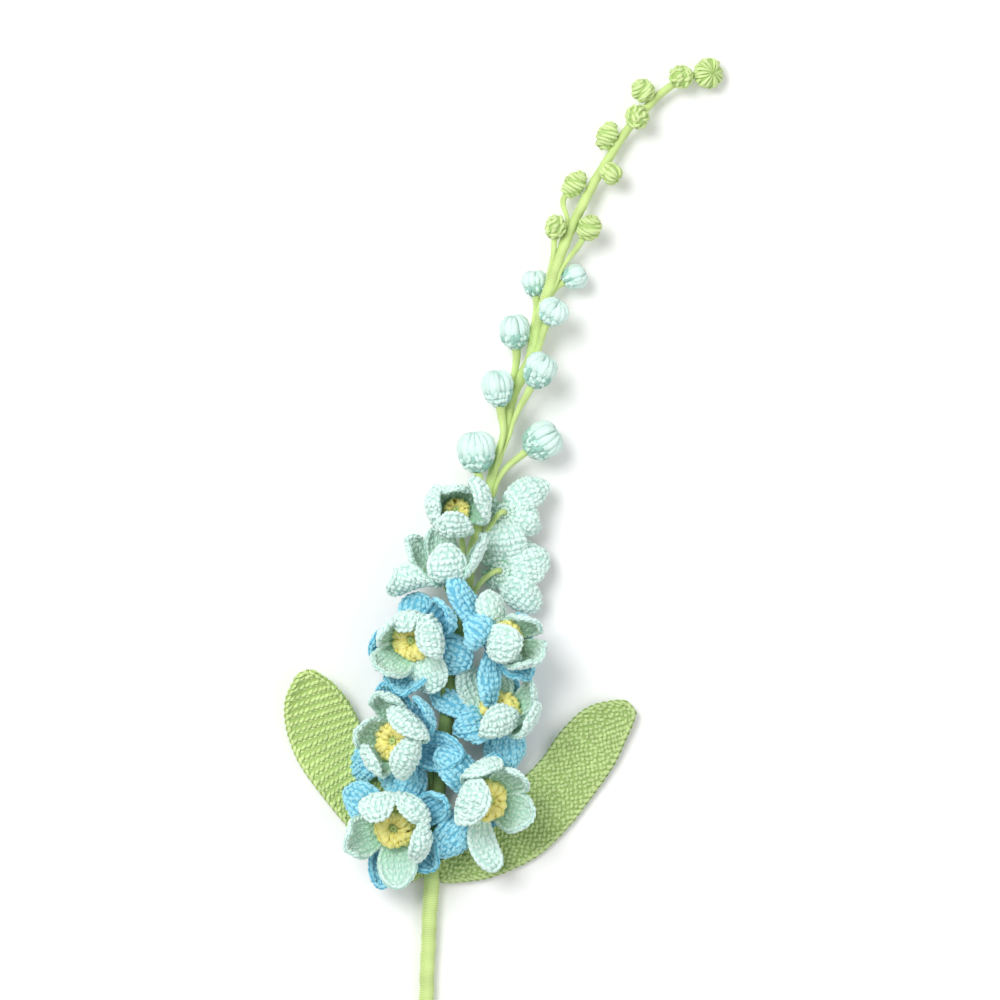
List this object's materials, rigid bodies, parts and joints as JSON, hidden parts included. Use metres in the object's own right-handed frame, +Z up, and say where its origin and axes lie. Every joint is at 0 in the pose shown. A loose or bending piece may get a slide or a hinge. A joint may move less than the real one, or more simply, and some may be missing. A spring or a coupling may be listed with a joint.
{
  "type": "crocheted delphinium flower spike",
  "caption": "Crocheted delphinium stem with mint and blue flowers, closed buds to a curving tip and green leaves, lying down",
  "frame": {"origin": "middle of the outline at the level of the surface that the spike lies on", "axes": "+Y runs along the spike from its cut end to its tip, +X to the viewer's right, +Z up to the viewer"},
  "size_m": [0.1962, 0.4994, 0.0515],
  "materials": {
    "stem_green": "light green thread wound closely round wire",
    "bud_green": "light yellow-green yarn, wound and crocheted",
    "left_leaf_green": "light green yarn crocheted in ribbed rows",
    "right_leaf_green": "mid green yarn crocheted in dense rows",
    "mint": "pale mint soft cotton yarn, crocheted",
    "blue": "sky blue soft cotton yarn, crocheted",
    "yellow": "pale yellow yarn in a ruffled ring",
    "wire": "plain florist's wire"
  },
  "bodies": {
    "root": {"bud_01": "bud_green", "bud_02": "bud_green", "bud_03": "bud_green", "bud_04": "bud_green", "bud_05": "bud_green", "bud_06": "bud_green", "bud_07": "bud_green", "bud_08": "bud_green", "bud_09": "bud_green", "bud_10": "mint", "bud_11": "mint", "bud_12": "mint", "bud_13": "mint", "bud_13_stalk": "stem_green", "bud_14": "mint", "bud_14_stalk": "stem_green", "bud_15": "mint", "bud_15_stalk": "stem_green", "bud_16": "mint", "bud_16_stalk": "stem_green", "bud_17": "mint", "bud_17_stalk": "stem_green", "flower_1_inner_petals": "mint", "flower_1_outer_petals": "blue", "flower_1_stalk": "stem_green", "flower_1_stamens": "yellow", "flower_2_inner_petals": "mint", "flower_2_outer_petals": "blue", "flower_2_stalk": "stem_green", "flower_2_stamens": "yellow", "flower_3_inner_petals": "mint", "flower_3_outer_petals": "blue", "flower_3_stalk": "stem_green", "flower_3_stamens": "yellow", "flower_4_inner_petals": "mint", "flower_4_outer_petals": "blue", "flower_4_stalk": "stem_green", "flower_4_stamens": "yellow", "flower_5_inner_petals": "mint", "flower_5_outer_petals": "blue", "flower_5_stalk": "stem_green", "flower_5_stamens": "yellow", "flower_6_inner_petals": "mint", "flower_6_outer_petals": "blue", "flower_6_stalk": "stem_green", "flower_6_stamens": "yellow", "half_flower_1_petals": "mint", "half_flower_1_stalk": "stem_green", "half_flower_1_stamens": "yellow", "half_flower_2_petals": "mint", "half_flower_2_stalk": "stem_green", "half_flower_2_stamens": "yellow", "half_flower_3_petals": "mint", "half_flower_3_stalk": "stem_green", "half_flower_4_petals": "mint", "half_flower_4_stalk": "stem_green", "left_leaf": "left_leaf_green", "right_leaf": "right_leaf_green", "stem_wires": "wire", "stem_wrap": "stem_green"}
  },
  "joints": []
}
